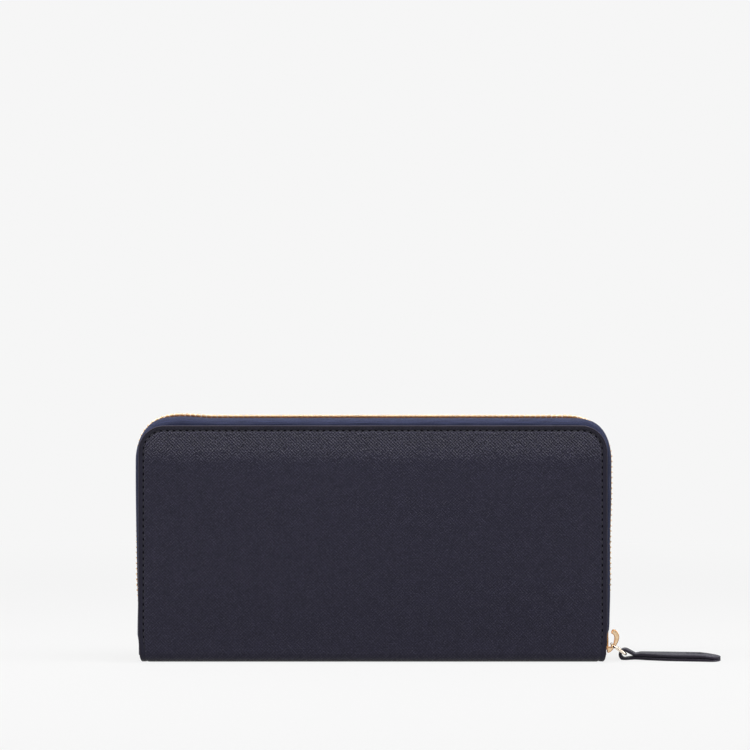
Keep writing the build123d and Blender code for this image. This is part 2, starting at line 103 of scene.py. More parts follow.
# ---- how the soft chain and tape lie on the real wallet ----
CHAIN_SKEW = 0.35  # the chain runs this much to the right of the covers,
SKEW_Z = (TUCK_LOW, TUCK_LOW + 16.0)  # growing between these heights
RIGHT_BOW = 0.48  # on the right it bows out by this much more,
BOW_Z = (48.0, 72.0)  # growing here
BOW_END_Z = (82.0, 95.0)  # and going back here
SWELL_LEFT = 1.1  # it is fuller than a circle in the two corners
SWELL_RIGHT = 0.6
LEFT_RISE = 0.6  # and stands up by this much where the left corner starts,
RISE_X = (-66.0, -78.0)  # growing along the top between these
DEPTH_TOP = 1.35  # the tape's crest lies this far below the teeth's outer faces along the top,
DEPTH_LEFT = 0.1  # down each side
DEPTH_RIGHT = 0.65
DEPTH_CORNER_LEFT = 0.55  # and in each corner
DEPTH_CORNER_RIGHT = -0.25
ROLL_Y = (3.4, 4.8)  # across the tape, that crest takes its depth between these
ROLL_LOW = 7.5  # near the chain's ends the tape turns in less than the teeth do,
ROLL_HIGH = 14.0  # by nothing from here up
ROLL_TUCK_LEFT = 1.2  # on the left it lies this far in for its lower part,
ROLL_LEFT_END = ROLL_HIGH + 60.0  # going back up to here
SIDE_ROLL_Y = (4.4, 5.3)  # across the tape, this grows between these


# ---- node helpers ----
class Shader:
    """Material whose nodes are added by short calls. An input is a number, a colour or another
    node's output; a number is set on the socket itself."""

    def __init__(self, name, **surface):
        self.material = bpy.data.materials.new(name)
        self.material.use_nodes = True
        self.tree = self.material.node_tree
        self.tree.nodes.clear()
        self.output = self.add("ShaderNodeOutputMaterial")
        if surface:
            self.surface(**surface)

    def add(self, kind, inputs=None, **settings):
        node = self.tree.nodes.new(kind)
        for key, value in settings.items():
            setattr(node, key, value)
        for key, value in (inputs or {}).items():
            socket = node.inputs[key]
            if isinstance(value, bpy.types.NodeSocket):
                self.link(value, socket)
            elif socket.type == "RGBA":
                socket.default_value = (*value, 1)
            else:
                socket.default_value = value
        return node

    def link(self, source, target):
        self.tree.links.new(source, target)

    def show(self, node):
        self.link(node.outputs[0], self.output.inputs["Surface"])

    def math(self, operation, a, b, clamp=False):
        return self.add("ShaderNodeMath", {0: a, 1: b}, operation=operation, use_clamp=clamp).outputs[0]

    def times(self, a, b, clamp=False):
        return self.math("MULTIPLY", a, b, clamp)

    def plus(self, a, b, clamp=False):
        return self.math("ADD", a, b, clamp)

    def minus(self, a, b):
        return self.math("SUBTRACT", a, b)

    def rise(self, value, begin, end, low=0.0, high=1.0):
        """Smooth step from low to high while the value goes from begin to end."""
        inputs = {0: value, 1: begin, 2: end, 3: low, 4: high}
        return self.add("ShaderNodeMapRange", inputs, interpolation_type="SMOOTHSTEP").outputs[0]

    def split(self, vector):
        return self.add("ShaderNodeSeparateXYZ", {0: vector}).outputs

    def surface(self, metallic=0.0, roughness=0.5, specular=0.5, sheen=0.0):
        self.shader = self.add("ShaderNodeBsdfPrincipled", {
            "Metallic": metallic, "Roughness": roughness, "Specular IOR Level": specular,
            "Sheen Weight": sheen})
        self.show(self.shader)

    def paint(self, colour):
        self.link(colour, self.shader.inputs["Base Color"])

    def polish(self, roughness):
        self.link(roughness, self.shader.inputs["Roughness"])

    def relief(self, height, distance):
        """Bump of this many millimetres."""
        node = self.add("ShaderNodeBump", {"Strength": 1.0, "Distance": distance * MM, "Height": height})
        self.link(node.outputs[0], self.shader.inputs["Normal"])

    def turned(self, vector, rotation, scale=(1, 1, 1)):
        inputs = {"Vector": vector, "Rotation": rotation, "Scale": scale}
        return self.add("ShaderNodeMapping", inputs).outputs[0]

    def coordinates(self, source="UV", scale=(1, 1, 1), turn=0.0):
        place = self.add("ShaderNodeTexCoord").outputs[source]
        return self.turned(place, (0, 0, turn), scale)

    def solid(self, turn=0.0):
        """Object coordinates in millimetres."""
        return self.coordinates("Object", (1 / MM, 1 / MM, 1 / MM), turn)

    def noise(self, vector, scale, detail=2.0, roughness=0.5):
        inputs = {"Vector": vector, "Scale": scale, "Detail": detail, "Roughness": roughness}
        return self.add("ShaderNodeTexNoise", inputs).outputs["Fac"]

    def bands(self, vector, period, distortion=0.0, detail_scale=1.0):
        """Sine bands along the vector's X, one per period."""
        inputs = {"Vector": vector, "Scale": 2 * math.pi / (20 * period), "Distortion": distortion,
                  "Detail": 2.0, "Detail Scale": detail_scale}
        return self.add("ShaderNodeTexWave", inputs, wave_type="BANDS", bands_direction="X",
                        wave_profile="SIN").outputs["Fac"]

    def mix(self, fac, a, b):
        return self.add("ShaderNodeMix", {0: fac, 6: a, 7: b}, data_type="RGBA").outputs[2]

    def attribute(self, name):
        return self.add("ShaderNodeAttribute", attribute_name=name).outputs["Fac"]


# ---- materials ----
GRAIN_PERIOD = 0.95
GRAIN_DEPTH = 0.24
GRAIN_BAND = (80.0, 93.5)  # the grain is pressed deeper, and gets stronger painted highlights and darker painted shade in its valleys, from here to here and above
GRAIN_LOW = 0.55  # its strength below the band
GRAIN_GAIN = 2.4  # and how much it gains above
# Painted shade: near-black colour of the fold where it turns under towards the floor.
FOLD_SHADE_COLOUR = (0.002, 0.001, 0.001)


def grained_leather(name, dark, light):
    """Cross-grain leather: two families of broken diagonal ridges, flattened where "press" is 1 and stronger
    high on the cover. The ridges are painted lighter as painted highlights, most high on the cover, where
    the valleys also get painted shade; where "low" is 1 the colour is painted shade under the fold. UV is
    (x, height) in millimetres."""
    s = Shader(name, roughness=0.46, specular=0.24)
    flat = s.coordinates()
    wander = s.noise(flat, 0.22, detail=1.0)
    heights = []
    for turn, seed in ((45, 0.0), (-45, 37.0)):
        along = s.coordinates(turn=math.radians(turn))
        ridge = s.bands(along, GRAIN_PERIOD, distortion=1.2, detail_scale=0.5)
        ridge = s.math("POWER", ridge, 1.5)
        inputs = {0: along, 1: (1.0, 0.5, 1.0), 2: (seed, seed, 0.0)}
        stretch = s.add("ShaderNodeVectorMath", inputs, operation="MULTIPLY_ADD")
        broken = s.noise(stretch.outputs[0], 1.4, detail=1.0)
        broken = s.times(s.minus(broken, 0.30), 3.0, clamp=True)
        heights.append(s.times(ridge, broken))
    crossed = s.math("MAXIMUM", *heights)
    crossed = s.plus(crossed, s.times(s.times(*heights), 0.6))
    pores = s.noise(flat, 5.5, detail=2.0)
    pressed = s.attribute("press")
    high = s.rise(s.split(flat)[1], *GRAIN_BAND)
    strength = s.plus(GRAIN_LOW, s.times(high, GRAIN_GAIN))
    grain_and_highlight_strength = s.times(s.minus(1.0, s.times(pressed, 0.9)), strength)
    ridges = s.times(crossed, grain_and_highlight_strength)
    height = s.plus(ridges, s.times(pores, 0.07))
    s.relief(s.plus(height, s.times(wander, 0.25)), GRAIN_DEPTH)
    # Painted highlight: the ridges are painted lighter, more so high on the cover where light from above
    # grazes the grain; the wander adds the leather's own uneven tone.
    tone = s.times(ridges, 0.9, clamp=True)
    tone = s.plus(tone, s.times(s.minus(wander, 0.5), 0.4), clamp=True)
    # Painted shade: high on the cover the valleys between the ridges are painted darker.
    top_shaded_valley = s.mix(high, dark, tuple(c * 0.45 for c in dark))
    # Painted shade: where "low" is 1, under the fold, the leather is painted near black.
    s.paint(s.mix(s.attribute("low"), s.mix(tone, top_shaded_valley, light), FOLD_SHADE_COLOUR))
    s.polish(s.minus(0.60, s.times(crossed, 0.20)))
    return s.material


def smooth_leather(name, dark, light):
    s = Shader(name, roughness=0.5, specular=0.35)
    place = s.solid()
    pebble = s.noise(place, 1.6, detail=3.0, roughness=0.6)
    cloud = s.noise(place, 0.12, detail=2.0)
    s.relief(pebble, 0.05)
    tone = s.plus(s.times(pebble, 0.35), s.times(cloud, 0.65))
    s.paint(s.mix(tone, dark, light))
    return s.material


def mottled(name, dark, light, grain, detail, depth, roughness, specular):
    """Plain material whose colour and relief follow one fine noise."""
    s = Shader(name, roughness=roughness, specular=specular)
    mottle = s.noise(s.solid(), grain, detail)
    s.relief(mottle, depth)
    s.paint(s.mix(mottle, dark, light))
    return s.material


def woven_tape(name):
    """Herringbone tape: UV is (length, width) in millimetres; painted darker along its sewn edge, as painted
    shade where it runs in under the cover's edge.
    """
    s = Shader(name, roughness=0.75, specular=0.1, sheen=0.04)
    flat = s.coordinates()
    length, width, _ = s.split(flat)
    rib = s.math("PINGPONG", width, 0.9)
    twill = s.plus(length, s.times(rib, 1.1))
    yarn = s.bands(s.add("ShaderNodeCombineXYZ", {0: twill, 1: width}).outputs[0], 0.55, distortion=0.4)
    across = s.bands(s.coordinates(turn=math.radians(90)), 0.45, distortion=0.3)
    weave = s.times(yarn, s.plus(s.times(across, 0.6), 0.4))
    fuzz = s.noise(flat, 3.0, detail=3.0)
    s.relief(s.plus(weave, s.times(fuzz, 0.5)), 0.14)
    streak = s.noise(s.coordinates(scale=(0.12, 1.6, 1.0)), 1.0, detail=2.0)
    tone = s.plus(s.times(weave, 0.55), s.times(fuzz, 0.25))
    tone = s.plus(tone, s.times(s.minus(streak, 0.45), 1.1), clamp=True)
    base = s.mix(tone, (0.005, 0.007, 0.024), (0.042, 0.050, 0.110))
    # Painted shade: near its sewn edge the tape lies in under the cover's edge and is painted near black.
    seam_shade = s.rise(width, 2.0, 3.6, 0.55, 1.0)
    s.paint(s.mix(seam_shade, (0.003, 0.004, 0.014), base))
    return s.material


def woven_lining(name, dark, light):
    s = Shader(name, roughness=0.78, specular=0.2, sheen=0.15)
    place = s.solid()
    warp = s.bands(place, 0.6, distortion=0.5)
    weft = s.bands(s.turned(place, (0, math.radians(90), 0)), 0.6, distortion=0.5)
    weave = s.math("MAXIMUM", warp, weft)
    slub = s.noise(place, 0.5, detail=3.0)
    s.relief(weave, 0.07)
    tone = s.plus(s.times(weave, 0.5), s.times(slub, 0.5))
    s.paint(s.mix(tone, dark, light))
    return s.material


def plated_metal(name, dark, light, roughness, wear, between=None):
    """Plated zip metal with fine tumbling marks; "between" is a painted shade colour, used where "low" is 1.
    """
    s = Shader(name, metallic=1.0, roughness=roughness)
    place = s.solid()
    cloud = s.noise(place, 0.8, detail=3.0)
    fine = s.noise(place, 9.0, detail=2.0)
    colour = s.mix(cloud, dark, light)
    # Painted shade: the metal is painted dark brown where "low" is 1.
    if between:
        colour = s.mix(s.attribute("low"), colour, between)
    s.paint(colour)
    s.polish(s.plus(roughness - wear, s.times(fine, 2 * wear)))
    s.relief(fine, 0.012)
    return s.material


def thread_material(name, dark, light):
    """Twisted sewing thread."""
    s = Shader(name, roughness=0.6, specular=0.3, sheen=0.2)
    twist = s.bands(s.solid(math.radians(30)), 0.35)
    s.relief(twist, 0.05)
    s.paint(s.mix(twist, dark, light))
    return s.material


LEATHER = grained_leather("grained_leather", (0.0098, 0.0087, 0.0218), (0.0320, 0.0292, 0.0592))
EDGE = mottled("painted_edge", (0.013, 0.0105, 0.0190), (0.027, 0.0215, 0.0360), 0.9, 3.0, 0.05, 0.5, 0.2)
SMOOTH = smooth_leather("smooth_leather", (0.020, 0.020, 0.034), (0.034, 0.034, 0.055))
TAPE = woven_tape("zip_tape_weave")
LINING = woven_lining("lining_weave", (0.020, 0.023, 0.050), (0.045, 0.050, 0.100))
# The teeth get painted shade deep in the gaps of the chain.
TEETH = plated_metal("zip_teeth_brass", (0.74, 0.52, 0.30), (0.92, 0.74, 0.52), 0.26, 0.06,
                     between=(0.20, 0.075, 0.02))
GOLD = plated_metal("polished_plating", (0.60, 0.35, 0.17), (0.98, 0.80, 0.56), 0.14, 0.04)
# Painted shade and dark reflections: the bevelled rims of the slider's plate and crown are painted darker
# and more orange than the faces.
GOLD_SHADED_RIM = plated_metal("plating_painted_rim_shade", (0.44, 0.21, 0.08), (0.66, 0.38, 0.18), 0.24, 0.05)
PALE_GOLD = plated_metal("pale_plating", (0.66, 0.54, 0.43), (0.92, 0.83, 0.72), 0.2, 0.04)
THREAD = thread_material("seam_thread", (0.009, 0.0085, 0.015), (0.022, 0.021, 0.034))
# Painted shade: the needle holes are painted near black, with no shine, for the shade inside them.
HOLE_SHADE = mottled("needle_hole_shade", (0.001, 0.001, 0.002), (0.003, 0.003, 0.005), 2.0, 2.0, 0.0, 1.0, 0.0)
BOARD = mottled("stiffener_board", (0.30, 0.24, 0.16), (0.50, 0.42, 0.30), 1.2, 4.0, 0.05, 0.9, 0.1)


# ---- mesh helpers ----
def end_caps(count, n):
    """Faces over the first and the last n points of a tube."""
    return [tuple(range(n)), tuple(range(count - 1, count - 1 - n, -1))]


def add_object(name, data):
    obj = bpy.data.objects.new(name, data)
    bpy.context.scene.collection.objects.link(obj)
    return obj


def clamp(value):
    return min(1.0, max(0.0, value))


def step(value, begin=0.0, end=1.0):
    """Smooth step from 0 to 1 while the value goes from begin to end."""
    t = clamp((value - begin) / (end - begin))
    return t * t * (3 - 2 * t)


def build(name, verts, faces, materials, body=None, replaces=(), uvs=None, face_mats=None, press=None,
          low=None, shaded=True, angle=40):
    """Mesh object from points in millimetres, riding on a body."""
    mesh = bpy.data.meshes.new(name)
    mesh.from_pydata([tuple(c * MM for c in v) for v in verts], [], faces)
    for material in materials:
        mesh.materials.append(material)
    if face_mats is not None:
        mesh.polygons.foreach_set("material_index", face_mats)
    if uvs is not None:
        layer = mesh.uv_layers.new(name="UVMap")
        for loop in mesh.loops:
            layer.data[loop.index].uv = uvs[loop.vertex_index]
    # "low" carries painted shade: under the covers' fold and deep between the teeth.
    for attribute, values in (("press", press), ("low", low)):
        if values is not None:
            layer = mesh.attributes.new(attribute, "FLOAT", "POINT")
            layer.data.foreach_set("value", values)
    mesh.validate()
    tidy = bmesh.new()
    tidy.from_mesh(mesh)
    bmesh.ops.recalc_face_normals(tidy, faces=tidy.faces)
    tidy.to_mesh(mesh)
    tidy.free()
    if shaded:
        mesh.shade_smooth()
        mesh.set_sharp_from_angle(angle=math.radians(angle))
    obj = add_object(name, mesh)
    if body:
        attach(obj, body)
    if replaces:
        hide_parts(*replaces)
    return obj


def grid_faces(rows, columns, close_columns=False, start=0):
    """Quads of a rows x columns grid of points numbered row by row."""
    faces = []
    last = columns if close_columns else columns - 1
    for r in range(rows - 1):
        for c in range(last):
            d = (c + 1) % columns
            a = start + r * columns
            faces.append((a + c, a + d, a + columns + d, a + columns + c))
    return faces


def prism(name, outline, to_world, thickness, bevel, material, body, replaces=(), segments=2,
          rim_material=None):
    """Outline in (a, b), thickened along c, with rounded edges. to_world maps (a, b, c) to X, Y, Z."""
    n = len(outline)
    verts = [to_world(a, b, c) for c in (0.0, thickness) for a, b in outline]
    faces = [tuple(range(n)), tuple(range(2 * n - 1, n - 1, -1))]
    faces += [(i, (i + 1) % n, n + (i + 1) % n, n + i) for i in range(n)]
    materials = [material, rim_material or material]
    obj = build(name, verts, faces, materials, body, replaces, face_mats=[0, 0] + [1] * n, shaded=False)
    work = bmesh.new()
    work.from_mesh(obj.data)
    rim = [e for e in work.edges if len(e.link_faces) == 2 and e.calc_face_angle(0) > math.radians(50)]
    bmesh.ops.bevel(work, geom=rim, offset=bevel * MM, segments=segments, profile=0.6, affect="EDGES",
                    clamp_overlap=True, material=1)
    work.to_mesh(obj.data)
    work.free()
    obj.data.shade_smooth()
    obj.data.set_sharp_from_angle(angle=math.radians(35))


def standing(y):
    """Places an (X, Z) outline at this Y, thickened to the back."""
    return lambda a, b, c: (a, y + c, b)


def brass(name, outline, to_world, thickness, bevel, body, replaces=(), **options):
    prism(name, outline, to_world, thickness, bevel, GOLD, body, replaces, **options)


def smooth_closed(points, steps=4):
    """Closed Catmull-Rom curve through the points."""
    result = []
    n = len(points)
    for i in range(n):
        p0, p1, p2, p3 = (np.array(points[(i + k) % n], float) for k in (-1, 0, 1, 2))
        for k in range(steps):
            t = k / steps
            a = 2 * p1 + (p2 - p0) * t + (2 * p0 - 5 * p1 + 4 * p2 - p3) * t * t
            result.append(tuple((a + (3 * p1 - p0 - 3 * p2 + p3) * t ** 3) / 2))
    return result


def rounded_arch(side, top, bottom, radius, low_radius=0.4, steps=8):
    """Closed outline in X and Z with rounded corners."""
    points = []
    for cx, cz, r, begin in ((side, bottom, low_radius, -90), (side, top, radius, 0),
                             (-side, top, radius, 90), (-side, bottom, low_radius, 180)):
        ox = cx - math.copysign(r, cx)
        oz = cz + (r if cz == bottom else -r)
        for k in range(steps + 1):
            angle = math.radians(begin + 90 * k / steps)
            points.append((ox + r * math.cos(angle), oz + r * math.sin(angle)))
    return points


def on_side(side, verts):
    """Points made for the front half, mirrored for the back half."""
    return [(x, -y, z) for x, y, z in verts] if side == BACK else verts


def join_parts(parts):
    """(verts, faces) pairs as one pair."""
    verts, faces = [], []
    for part_verts, part_faces in parts:
        base = len(verts)
        verts.extend(part_verts)
        faces.extend(tuple(base + i for i in face) for face in part_faces)
    return verts, faces


# ---- the path that follows the edge ----
def edge_path(side, top, corner_z, low, straight=40, corner=16, across=90):
    """Points (x, z, outward x, outward z, length along) up the left side, over and down the right."""
    radius = max(0.5, top - corner_z)
    corner_z = top - radius
    left = [(-side, low + (corner_z - low) * i / straight, -1.0, 0.0) for i in range(straight)]
    for i in range(corner):
        turn = math.pi / 2 * i / corner
        c, s = math.cos(turn), math.sin(turn)
        left.append((-side + radius - radius * c, corner_z + radius * s, -c, s))
    over = [(-side + radius + 2 * (side - radius) * i / across, top, 0.0, 1.0) for i in range(across + 1)]
    raw = left + over + [(-x, z, -nx, nz) for x, z, nx, nz in reversed(left)]
    path = []
    length = 0.0
    for i, (x, z, nx, nz) in enumerate(raw):
        if i:
            length += math.hypot(x - raw[i - 1][0], z - raw[i - 1][1])
        path.append((x, z, nx, nz, length))
    return path


def even_places(side, top, corner_z, low, pitch):
    """Even steps along that path: (x, z, outward x, outward z)."""
    path = edge_path(side, top, corner_z, low, straight=2, corner=64, across=2)
    lengths = np.array([p[4] for p in path])
    count = int(lengths[-1] / pitch)
    start = (lengths[-1] - count * pitch) / 2
    places = []
    for i in range(count + 1):
        s = start + i * pitch
        x, z, nx, nz = (float(np.interp(s, lengths, [p[k] for p in path])) for k in range(4))
        size = math.hypot(nx, nz)
        places.append((x, z, nx / size, nz / size))
    return places


# ---- cover leather ----
BORDER_INNER = 2.75
INSET_LAST = 10.0
WAIST = 0.65  # the covers narrow by this much at the spine,
WAIST_TOP = 14.0  # from this height down,
SPINE_WAIST = 0.9  # and by this much more under the fold
PAD_INSET = 40.0
PAD_RISE = 0.8  # the cover is padded: its middle stands out by this
PAD_START = 3.0
PAD_FULL_Z = FOLD_R + 26.0
FOLD_SHADE_Z = 1.6  # the fold's underside is painted dark, as painted shade, below this height


def cover_profile():
    """(inset, Y, painted edge?, press) from the inner face, round the edge, to the grain."""
    y0, y1 = Y_OUTER, Y_BOARD
    points = [
        (INSET_LAST, y1, 1, 1), (0.3, y1, 1, 1), (0.08, y1 - 0.08, 1, 1), (0.0, y1 - 0.25, 1, 1),
        (0.0, y0 + 0.55, 1, 1), (0.05, y0 + 0.30, 1, 1), (0.17, y0 + 0.13, 1, 1), (0.34, y0 + 0.05, 1, 1),
        (0.46, y0 + 0.06, 0, 1), (0.58, y0 + 0.16, 0, 1), (0.72, y0 + 0.17, 0, 1), (0.88, y0 + 0.08, 0, 1),
        (1.10, y0 + 0.07, 0, 1), (1.60, y0 + 0.11, 0, 1), (1.82, y0 + 0.20, 0, 1), (2.10, y0 + 0.25, 0, 1),
        (2.38, y0 + 0.19, 0, 1), (2.58, y0 + 0.09, 0, 0.8), (BORDER_INNER, y0 + 0.03, 0, 0.3),
        (3.1, y0 + 0.005, 0, 0), (4.0, y0, 0, 0), (7.0, y0, 0, 0), (INSET_LAST, y0, 0, 0),
    ]
    middle = (14.0, 19.0, 25.0, 32.0, PAD_INSET, 52.0, 64.0, 76.0, 88.0)
    return points + [(inset, y0, 0, 0) for inset in middle]


def waist(x, z):
    """Covers narrow a little towards the spine."""
    return x * (1 - WAIST / COVER_SIDE * step(z, WAIST_TOP, 0.0))


def pad(inset, z):
    """How far the padded cover stands out here."""
    t = clamp((inset - PAD_START) / (PAD_INSET - PAD_START))
    return PAD_RISE * (1 - (1 - t) ** 2) * step(z, FOLD_R, PAD_FULL_Z)


def cover_leather(side, along_spine):
    """Cover, its fold and, for the back half, the flat spine. Returns the arguments of build()."""
    profile = cover_profile()
    verts, uvs, press, faces, mats = [], [], [], [], []
    columns = None
    for inset, y, _, pressed in profile:
        path = edge_path(COVER_SIDE - inset, COVER_TOP - inset, CORNER_Z, FOLD_R)
        columns = len(path)
        for x, z, *_ in path:
            rise = pad(inset, z) if y < Y_BOARD else 0.0
            verts.append((waist(x, z), y - rise, z))
            uvs.append((x, z))
            press.append(pressed)
    for row, face in enumerate(grid_faces(len(profile), columns)):
        faces.append(face)
        mats.append(profile[row // (columns - 1)][2])
    count = len(profile)
    inner_ring = list(range(columns))
    outer_ring = [(count - 1) * columns + i for i in range(columns)]
    faces += [tuple(inner_ring), tuple(outer_ring)]
    mats += [1, 0]
    loop = [i * columns for i in range(count)]
    loop += [i * columns + columns - 1 for i in reversed(range(count))]
    steps = 14
    turns = [math.pi / 2 * k / steps for k in range(1, steps + 1)]
    run = [0.0] * steps
    if along_spine:
        spine_steps = 12
        turns += [math.pi / 2] * spine_steps
        run += [2 * abs(Y_FOLD) * (k + 1) / spine_steps for k in range(spine_steps)]
    previous = loop
    for turn, shift in zip(turns, run):
        base = len(verts)
        for index in loop:
            x, y, z = verts[index]
            radius = Y_FOLD - y
            x *= 1 - SPINE_WAIST / COVER_SIDE * (1 - math.cos(turn))
            verts.append((x, Y_FOLD - radius * math.cos(turn) + shift, FOLD_R - radius * math.sin(turn)))
            uvs.append((uvs[index][0], FOLD_R - FOLD_R * turn - shift))
            press.append(press[index])
        current = list(range(base, base + len(loop)))
        for k in range(len(loop)):
            m = (k + 1) % len(loop)
            faces.append((previous[k], previous[m], current[m], current[k]))
            side_row = k if k < count else 2 * count - 2 - k
            inner_span = k == 2 * count - 1
            mats.append(1 if inner_span else profile[min(max(side_row, 0), count - 1)][2])
        previous = current
    faces.append(tuple(previous))
    mats.append(1)
    verts = on_side(side, verts)
    # Painted shade: "low" is 1 at the bottom of the fold and fades out a little higher up.
    low = [clamp((FOLD_SHADE_Z - z) / FOLD_SHADE_Z) for _, _, z in verts]
    return dict(verts=verts, faces=faces, uvs=uvs, press=press, low=low, face_mats=mats,
                materials=[LEATHER, EDGE], angle=55)


def covers():
    build("cover_leather_back", body="back_half", replaces=("back_cover", "back_fold", "spine_cover"),
          **cover_leather(BACK, True))
    front = build("cover_leather_front", replaces=("front_cover", "front_fold"),
                  **cover_leather(FRONT, False))
    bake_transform(front)


# ---- seam stitches ----
def oval(x, z, y, nx, nz, half_long, half_wide, lift, sides=10, rings=3):
    """Flat-bottomed bump, long along the seam."""
    tx, tz = nz, -nx
    verts = []
    for r in range(rings):
        f = math.cos(math.pi / 2 * r / rings)
        h = lift * math.sin(math.pi / 2 * r / rings)
        for k in range(sides):
            a = 2 * math.pi * k / sides
            u, w = half_long * f * math.cos(a), half_wide * f * math.sin(a)
            verts.append((x + tx * u + nx * w, y + h, z + tz * u + nz * w))
    faces = grid_faces(rings, sides, close_columns=True)
    verts.append((x, y + lift, z))
    top = len(verts) - 1
    base = (rings - 1) * sides
    faces += [(base + k, base + (k + 1) % sides, top) for k in range(sides)]
    faces.append(tuple(range(sides)))
    return verts, faces


def seam(side, name, body, node):
    inset = STITCH_INSET
    places = even_places(COVER_SIDE - inset, COVER_TOP - inset, CORNER_Z, FOLD_R + 2.0, STITCH_PITCH / 2)
    parts, mats = [], []
    for i, (x, z, nx, nz) in enumerate(places):
        x = waist(x, z)
        fade = min(1.0, max(0.35, (z - 4.0) / 8.0))
        if i % 2:
            part = oval(x, z, Y_OUTER + 0.24, nx, nz, 0.60 * fade, 0.32 * fade, -0.09)
            mats += [1] * len(part[1])
        else:
            part = oval(x, z, Y_OUTER + 0.26, nx, nz, 0.92, 0.22, -0.12)
            mats += [0] * len(part[1])
        parts.append(part)
    verts, faces = join_parts(parts)
    build(name, on_side(side, verts), faces, [THREAD, HOLE_SHADE], body, (node,), face_mats=mats)


# ---- zip tape ----
def tuck(z, low=TUCK_LOW, high=TUCK_HIGH):
    """How far the chain turns in towards its ends."""
    return END_TUCK * (1 - step(z, low, high))


def soft_shape(x, z, nx, nz, inwards):
    """Where the soft chain lies, from its designed place: skewed, bowed and full in the corners."""
    across = CHAIN_SKEW * step(z, *SKEW_Z) - math.copysign(inwards, x)
    if x > 0:
        across += RIGHT_BOW * step(z, *BOW_Z) * (1 - step(z, *BOW_END_Z))
    swell = (SWELL_RIGHT if nx > 0 else SWELL_LEFT) * (2 * nx * nz) ** 2
    lift = nz * swell + LEFT_RISE * step(x, *RISE_X) * nz * nz
    return x + across + nx * swell, z + lift


def crest_depth(nx, nz):
    """How far the tape's crest lies below the outer faces of the teeth."""
    side, corner = (DEPTH_RIGHT, DEPTH_CORNER_RIGHT) if nx > 0 else (DEPTH_LEFT, DEPTH_CORNER_LEFT)
    turn = (2 * nx * nz) ** 2
    return (DEPTH_TOP * nz * nz + side * nx * nx) * (1 - turn) + corner * turn


def crest_place(x, z, nx, nz, y):
    """The tape's crest at this Y: under the teeth beside the chain, rolled out further from it."""
    roll = step(abs(y), *ROLL_Y)
    depth = DEPTH_TOP + (crest_depth(nx, nz) - DEPTH_TOP) * roll
    rolled = tuck(z, ROLL_LOW, ROLL_HIGH)
    if nx < 0:
        rolled = max(rolled, ROLL_TUCK_LEFT * (1 - step(z, ROLL_HIGH, ROLL_LEFT_END)))
    inwards = tuck(z) + (rolled - tuck(z)) * step(abs(y), *SIDE_ROLL_Y)
    x, z = soft_shape(x, z, nx, nz, inwards)
    return x - nx * depth, z - nz * depth


TAPE_REACH = -Y_BOARD - 0.6  # the tape leaves the cover here, on each side
TAPE_LOW = 3.0
RIPPLE = 0.07  # the tape's own waviness
RIPPLE_LENGTH = 5.3


def bulge(y):
    """How far the tape has come out of the cover, from 0 at the seam to 1 beside the teeth."""
    return math.sqrt(1 - clamp((abs(y) - TAPE_FLAT) / (TAPE_REACH - TAPE_FLAT)) ** 2)


def tape(side, name, body, nodes):
    """Woven strip from the seam inside the cover's edge to the teeth. Levels are (Y, outward offset
    from the seam), or (Y, None) where the tape is free."""
    sewn = edge_path(COVER_SIDE - SEWN_INSET, COVER_TOP - SEWN_INSET, CHAIN_CORNER_Z, TAPE_LOW)
    crest = edge_path(CHAIN_SIDE, CHAIN_TOP, CHAIN_CORNER_Z, TAPE_LOW)
    levels = [(-TAPE_REACH - 0.55, -1.5), (-TAPE_REACH - 0.5, -0.5)]
    for k in range(13):
        turn = math.pi / 2 * k / 12
        levels.append((-(TAPE_FLAT + (TAPE_REACH - TAPE_FLAT) * math.cos(turn)), None))
    levels += [(-2.3, None), (-1.6, None), (-TAPE_EDGE - 0.25, None), (-TAPE_EDGE, None)]
    outer = []
    for y, flat in levels:
        row = []
        for (x0, z0, nx, nz, s), (x1, z1, *_) in zip(sewn, crest):
            if flat is None:
                t = bulge(y)
                x1, z1 = crest_place(x1, z1, nx, nz, y)
                ripple = RIPPLE * math.sin(s / RIPPLE_LENGTH) * math.sin(math.pi * t)
                x = x0 + (x1 - x0) * t + nx * ripple
                z = z0 + (z1 - z0) * t + nz * ripple
            else:
                x = x0 + nx * flat
                z = z0 + nz * flat
            row.append((x, y, z))
        outer.append(row)
    columns = len(sewn)
    normals = [(p[2], p[3]) for p in sewn]
    inner = []
    for row in reversed(outer):
        inner.append([(x - nx * TAPE_THICK, y, z - nz * TAPE_THICK)
                      for (x, y, z), (nx, nz) in zip(row, normals)])
    rows = outer + inner
    verts = [v for row in rows for v in row]
    widths = [0.0]
    for a, b in zip(rows, rows[1:]):
        middle = columns // 2
        widths.append(widths[-1] + math.dist(a[middle], b[middle]))
    uvs = [(sewn[c][4], widths[r]) for r in range(len(rows)) for c in range(columns)]
    faces = grid_faces(len(rows), columns)
    faces += [tuple(r * columns for r in range(len(rows))),
              tuple(r * columns + columns - 1 for r in reversed(range(len(rows))))]
    build(name, on_side(side, verts), faces, [TAPE], body, nodes, uvs=uvs)


# ---- zip teeth ----
def bar(levels, half_width, base, crown, round_top):
    """Loft along y. levels are (y, width factor, height factor); base and crown are r values."""
    shape = [(-1, 0), (-1, 0.30), (-0.86, 0.62), (-0.62, 0.86), (-0.3, 0.98),
             (0.3, 0.98), (0.62, 0.86), (0.86, 0.62), (1, 0.30), (1, 0)]
    if not round_top:
        shape = [(-1, 0), (-1, 0.8), (-0.85, 1.0), (0.85, 1.0), (1, 0.8), (1, 0)]
    verts = []
    for y, wide, high in levels:
        for t, h in shape:
            verts.append((t * half_width * wide, y, base + (crown - base) * h * high))
    n = len(shape)
    faces = grid_faces(len(levels), n, close_columns=True)
    faces += end_caps(len(verts), n)
    return verts, faces


